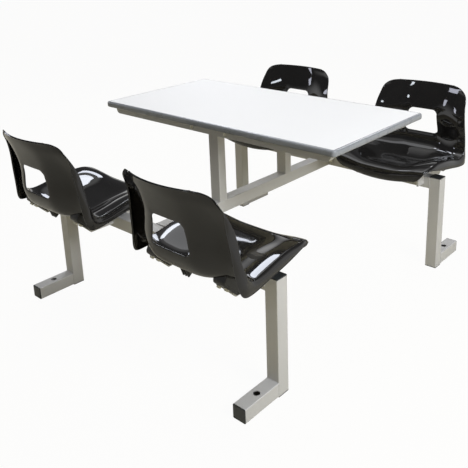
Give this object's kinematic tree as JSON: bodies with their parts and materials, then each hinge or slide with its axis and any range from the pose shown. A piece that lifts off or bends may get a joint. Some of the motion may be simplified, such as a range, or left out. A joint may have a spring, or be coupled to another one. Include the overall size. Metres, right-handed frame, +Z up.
{
  "type": "table with attached seats",
  "caption": "Rectangular canteen table on two posts and a spine, with moulded bucket seats fixed on bench beams at both long sides.",
  "frame": {"origin": "on the floor, in the middle of the frame and below the middle of the whole part's box", "axes": "+Z up, +X along the table's long side, +Y across the table from the front row of seats to the rear row"},
  "size_m": [1.222, 1.6728, 0.758],
  "materials": {
    "white_laminate": "white satin laminate on particle board",
    "grey_edging": "light grey satin moulded edging",
    "frame_paint": "warm silver-grey powder coat, fine texture",
    "black_shell": "high-gloss black moulded plastic",
    "black_block": "black moulded plastic, semi-matt",
    "black_cap": "black moulded plastic, satin",
    "zinc": "zinc-plated steel"
  },
  "bodies": {
    "root": {"front_beam": "frame_paint", "front_head_bar": "frame_paint", "front_left_floor_shoe": "black_cap", "front_left_foot": "frame_paint", "front_left_foot_cap": "black_cap", "front_left_inner_seat_arm": "frame_paint", "front_left_inner_seat_block": "black_block", "front_left_outer_seat_arm": "frame_paint", "front_left_outer_seat_block": "black_block", "front_left_seat_shell": "black_shell", "front_left_upright": "frame_paint", "front_left_upright_cap": "black_cap", "front_post": "frame_paint", "front_rail": "frame_paint", "front_right_floor_shoe": "black_cap", "front_right_foot": "frame_paint", "front_right_foot_cap": "black_cap", "front_right_inner_seat_arm": "frame_paint", "front_right_inner_seat_block": "black_block", "front_right_outer_seat_arm": "frame_paint", "front_right_outer_seat_block": "black_block", "front_right_seat_shell": "black_shell", "front_right_upright": "frame_paint", "front_right_upright_cap": "black_cap", "front_spine_flange": "frame_paint", "rail_bolts": "zinc", "rear_beam": "frame_paint", "rear_head_bar": "frame_paint", "rear_left_floor_shoe": "black_cap", "rear_left_foot": "frame_paint", "rear_left_foot_cap": "black_cap", "rear_left_inner_seat_arm": "frame_paint", "rear_left_inner_seat_block": "black_block", "rear_left_outer_seat_arm": "frame_paint", "rear_left_outer_seat_block": "black_block", "rear_left_seat_shell": "black_shell", "rear_left_upright": "frame_paint", "rear_left_upright_cap": "black_cap", "rear_post": "frame_paint", "rear_rail": "frame_paint", "rear_right_floor_shoe": "black_cap", "rear_right_foot": "frame_paint", "rear_right_foot_cap": "black_cap", "rear_right_inner_seat_arm": "frame_paint", "rear_right_inner_seat_block": "black_block", "rear_right_outer_seat_arm": "frame_paint", "rear_right_outer_seat_block": "black_block", "rear_right_seat_shell": "black_shell", "rear_right_upright": "frame_paint", "rear_right_upright_cap": "black_cap", "rear_spine_flange": "frame_paint", "seat_bolts": "zinc", "spine": "frame_paint", "spine_flange_bolts": "zinc", "table_edging": "grey_edging", "table_top": "white_laminate", "top_screws": "zinc"}
  },
  "joints": []
}
